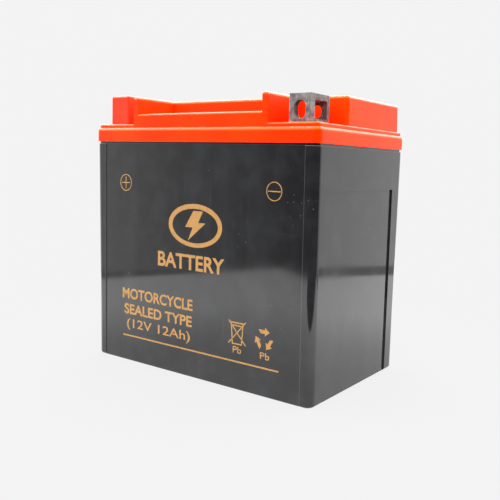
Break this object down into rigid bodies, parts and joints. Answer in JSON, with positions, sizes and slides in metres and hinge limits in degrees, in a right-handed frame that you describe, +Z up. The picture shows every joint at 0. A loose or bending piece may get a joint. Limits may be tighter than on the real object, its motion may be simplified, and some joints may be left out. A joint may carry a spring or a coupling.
{
  "type": "motorcycle battery",
  "caption": "Sealed lead-acid motorcycle battery: black box case, orange stepped lid, front corner terminals with nut pockets, one capped, and lift-off vent cover.",
  "frame": {"origin": "centre of the flat base, at the bottom of the case", "axes": "+X along the length towards the negative terminal's side, -Y towards the front, where the terminals are, +Z up"},
  "size_m": [0.15, 0.087, 0.1473],
  "materials": {
    "case_plastic": "glossy moulded black plastic with fine rub marks",
    "lid_plastic": "glossy moulded orange plastic",
    "cap_plastic": "soft glossy orange-red plastic",
    "valve_rubber": "soft black rubber",
    "seal_resin": "black sealing resin",
    "cast_lead": "dull cast lead with scratches",
    "strap_lead": "dull cast lead",
    "positive_paste": "matt brown cured paste on a lead grid",
    "negative_paste": "matt grey sponge lead on a lead grid",
    "glass_mat": "white glass fibre mat"
  },
  "bodies": {
    "battery": {"case": "case_plastic", "lid": "lid_plastic", "lid_deck": "lid_plastic", "lid_frame": "lid_plastic", "positive_terminal": "cast_lead", "negative_terminal": "cast_lead", "positive_post": "strap_lead", "negative_post": "strap_lead", "positive_post_seal": "seal_resin", "negative_post_seal": "seal_resin", "positive_plates_1": "positive_paste", "positive_plates_2": "positive_paste", "positive_plates_3": "positive_paste", "positive_plates_4": "positive_paste", "positive_plates_5": "positive_paste", "positive_plates_6": "positive_paste", "negative_plates_1": "negative_paste", "negative_plates_2": "negative_paste", "negative_plates_3": "negative_paste", "negative_plates_4": "negative_paste", "negative_plates_5": "negative_paste", "negative_plates_6": "negative_paste", "separators_1": "glass_mat", "separators_2": "glass_mat", "separators_3": "glass_mat", "separators_4": "glass_mat", "separators_5": "glass_mat", "separators_6": "glass_mat", "positive_strap_1": "strap_lead", "positive_strap_2": "strap_lead", "positive_strap_3": "strap_lead", "positive_strap_4": "strap_lead", "positive_strap_5": "strap_lead", "positive_strap_6": "strap_lead", "negative_strap_1": "strap_lead", "negative_strap_2": "strap_lead", "negative_strap_3": "strap_lead", "negative_strap_4": "strap_lead", "negative_strap_5": "strap_lead", "negative_strap_6": "strap_lead", "cell_weld_1": "strap_lead", "cell_weld_2": "strap_lead", "cell_weld_3": "strap_lead", "cell_weld_4": "strap_lead", "cell_weld_5": "strap_lead"},
    "vent_cover": {"vent_cover": "lid_plastic"},
    "positive_cap": {"positive_cap": "cap_plastic"},
    "relief_valve_1": {"relief_valve_1": "valve_rubber"},
    "relief_valve_2": {"relief_valve_2": "valve_rubber"},
    "relief_valve_3": {"relief_valve_3": "valve_rubber"},
    "relief_valve_4": {"relief_valve_4": "valve_rubber"},
    "relief_valve_5": {"relief_valve_5": "valve_rubber"},
    "relief_valve_6": {"relief_valve_6": "valve_rubber"}
  },
  "joints": [
    {"name": "vent_cover_lift", "type": "slide", "parent": "battery", "child": "vent_cover", "axis": [0, 0, 1], "range_m": [0, 0.02]},
    {"name": "positive_cap_lift", "type": "slide", "parent": "battery", "child": "positive_cap", "axis": [0, 0, 1], "range_m": [0, 0.03]},
    {"name": "relief_valve_1_lift", "type": "slide", "parent": "battery", "child": "relief_valve_1", "axis": [0, 0, 1], "range_m": [0, 0.0005], "stiffness_N_per_m": 300},
    {"name": "relief_valve_2_lift", "type": "slide", "parent": "battery", "child": "relief_valve_2", "axis": [0, 0, 1], "range_m": [0, 0.0005], "stiffness_N_per_m": 300},
    {"name": "relief_valve_3_lift", "type": "slide", "parent": "battery", "child": "relief_valve_3", "axis": [0, 0, 1], "range_m": [0, 0.0005], "stiffness_N_per_m": 300},
    {"name": "relief_valve_4_lift", "type": "slide", "parent": "battery", "child": "relief_valve_4", "axis": [0, 0, 1], "range_m": [0, 0.0005], "stiffness_N_per_m": 300},
    {"name": "relief_valve_5_lift", "type": "slide", "parent": "battery", "child": "relief_valve_5", "axis": [0, 0, 1], "range_m": [0, 0.0005], "stiffness_N_per_m": 300},
    {"name": "relief_valve_6_lift", "type": "slide", "parent": "battery", "child": "relief_valve_6", "axis": [0, 0, 1], "range_m": [0, 0.0005], "stiffness_N_per_m": 300}
  ]
}
